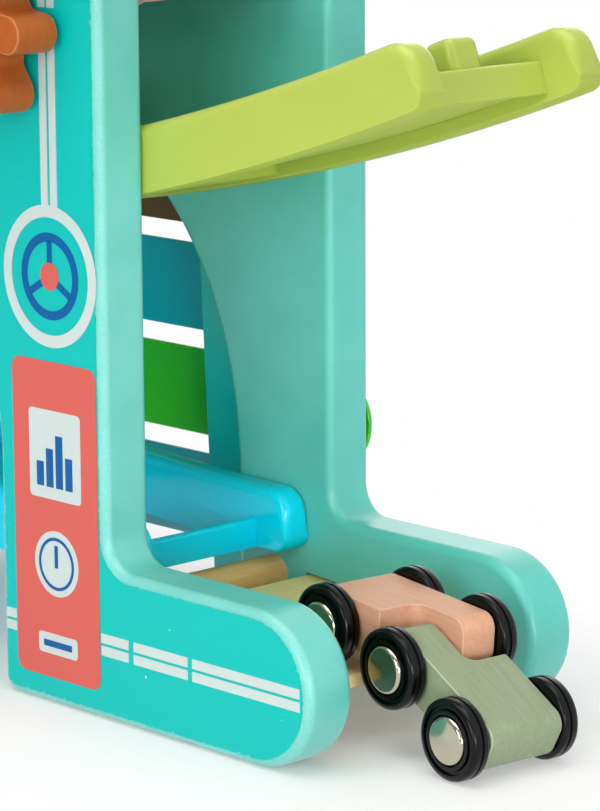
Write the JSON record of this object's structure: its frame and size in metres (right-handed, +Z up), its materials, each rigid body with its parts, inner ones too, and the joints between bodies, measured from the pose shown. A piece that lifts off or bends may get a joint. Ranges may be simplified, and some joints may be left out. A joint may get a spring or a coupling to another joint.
{
  "type": "toy car ramp tower with xylophone",
  "caption": "Wooden toy tower: arched boards carry zigzag slides for small wheeled cars, an exit plank, meshing gears and a xylophone on the back.",
  "frame": {"origin": "middle of the footprint's bounding box, on the floor", "axes": "+X along the boards towards the exit plank, +Y from the printed front to the xylophone, +Z up"},
  "size_m": [0.4004, 0.1215, 0.25],
  "materials": {
    "front_paint": "satin paint",
    "back_paint": "satin paint",
    "lime_plastic": "smooth",
    "blue_plastic": "smooth",
    "pink_plastic": "smooth",
    "dowel_wood": "natural",
    "pine": "natural",
    "rail_paint": "satin paint",
    "steel": "plain",
    "felt": "felt",
    "key_teal": "gloss paint",
    "key_green": "gloss paint",
    "key_brown": "gloss paint",
    "key_red": "gloss paint",
    "key_lime": "gloss paint",
    "key_blue": "gloss paint",
    "key_pink": "gloss paint",
    "gear_orange": "satin paint",
    "gear_red": "satin paint",
    "peg_wood": "natural",
    "pink_wood": "thin satin paint",
    "sage_wood": "thin satin paint",
    "wheel_black": "moulded",
    "cap_chrome": "polished"
  },
  "bodies": {
    "tower": {"front_board": "front_paint", "back_board": "back_paint", "lime_slide": "lime_plastic", "blue_slide": "blue_plastic", "pink_slide": "pink_plastic", "exit_dowel": "dowel_wood", "left_dowel": "dowel_wood", "top_right_dowel": "dowel_wood", "top_left_dowel": "dowel_wood", "exit_plank": "pine", "right_rail": "rail_paint", "left_rail": "rail_paint", "rail_screws": "steel", "felt_washers": "felt", "key_screws": "steel", "key_1": "key_teal", "key_2": "key_green", "key_3": "key_teal", "key_4": "key_brown", "key_5": "key_red", "key_6": "key_lime", "key_7": "key_blue", "key_8": "key_pink", "right_gear_peg": "peg_wood", "right_gear_spacer": "peg_wood", "left_gear_peg": "peg_wood", "left_gear_spacer": "peg_wood"},
    "right_gear": {"right_gear": "gear_orange"},
    "left_gear": {"left_gear": "gear_red"},
    "pink_car": {"pink_car_body": "pink_wood"},
    "pink_rear_wheels": {"pink_rear_axle": "steel", "pink_rear_wheel_near": "wheel_black", "pink_rear_wheel_far": "wheel_black", "pink_rear_caps": "cap_chrome"},
    "pink_front_wheel": {"pink_front_axle": "steel", "pink_front_wheel": "wheel_black", "pink_front_cap": "cap_chrome"},
    "sage_car": {"sage_car_body": "sage_wood"},
    "sage_front_wheels": {"sage_front_axle": "steel", "sage_front_wheel_near": "wheel_black", "sage_front_wheel_far": "wheel_black", "sage_front_caps": "cap_chrome"},
    "sage_rear_wheel": {"sage_rear_axle": "steel", "sage_rear_wheel": "wheel_black", "sage_rear_cap": "cap_chrome"}
  },
  "joints": [
    {"name": "right_gear_spin", "type": "hinge", "parent": "tower", "child": "right_gear", "pos_m": [0.05825, -0.04935, 0.1689], "axis": [0, 1, 0], "continuous": true},
    {"name": "left_gear_spin", "type": "hinge", "parent": "tower", "child": "left_gear", "pos_m": [0.00945, -0.04935, 0.1689], "axis": [0, 1, 0], "continuous": true},
    {"name": "pink_lift", "type": "slide", "parent": "tower", "child": "pink_car", "axis": [0, 0, 1], "range_m": [0, 0.05]},
    {"name": "pink_rear_spin", "type": "hinge", "parent": "pink_car", "child": "pink_rear_wheels", "pos_m": [0.14327, 0.00235, 0.02744], "axis": [0.0869, 0.9962, -0.0068], "continuous": true},
    {"name": "pink_front_spin", "type": "hinge", "parent": "pink_car", "child": "pink_front_wheel", "pos_m": [0.1681, 0.00017, 0.02551], "axis": [0.0869, 0.9962, -0.0068], "continuous": true},
    {"name": "sage_roll", "type": "slide", "parent": "tower", "child": "sage_car", "axis": [0.9962, -0.0872, 0], "range_m": [0, 0.08]},
    {"name": "sage_front_spin", "type": "hinge", "parent": "sage_car", "child": "sage_front_wheels", "pos_m": [0.18915, -0.00185, 0.00985], "axis": [0.0872, 0.9962, 0], "continuous": true},
    {"name": "sage_rear_spin", "type": "hinge", "parent": "sage_car", "child": "sage_rear_wheel", "pos_m": [0.16726, 0.00006, 0.02178], "axis": [0.0872, 0.9962, 0], "continuous": true}
  ],
  "couplings": [
    {"joint": "left_gear_spin", "follows": "right_gear_spin", "ratio": -1}
  ]
}
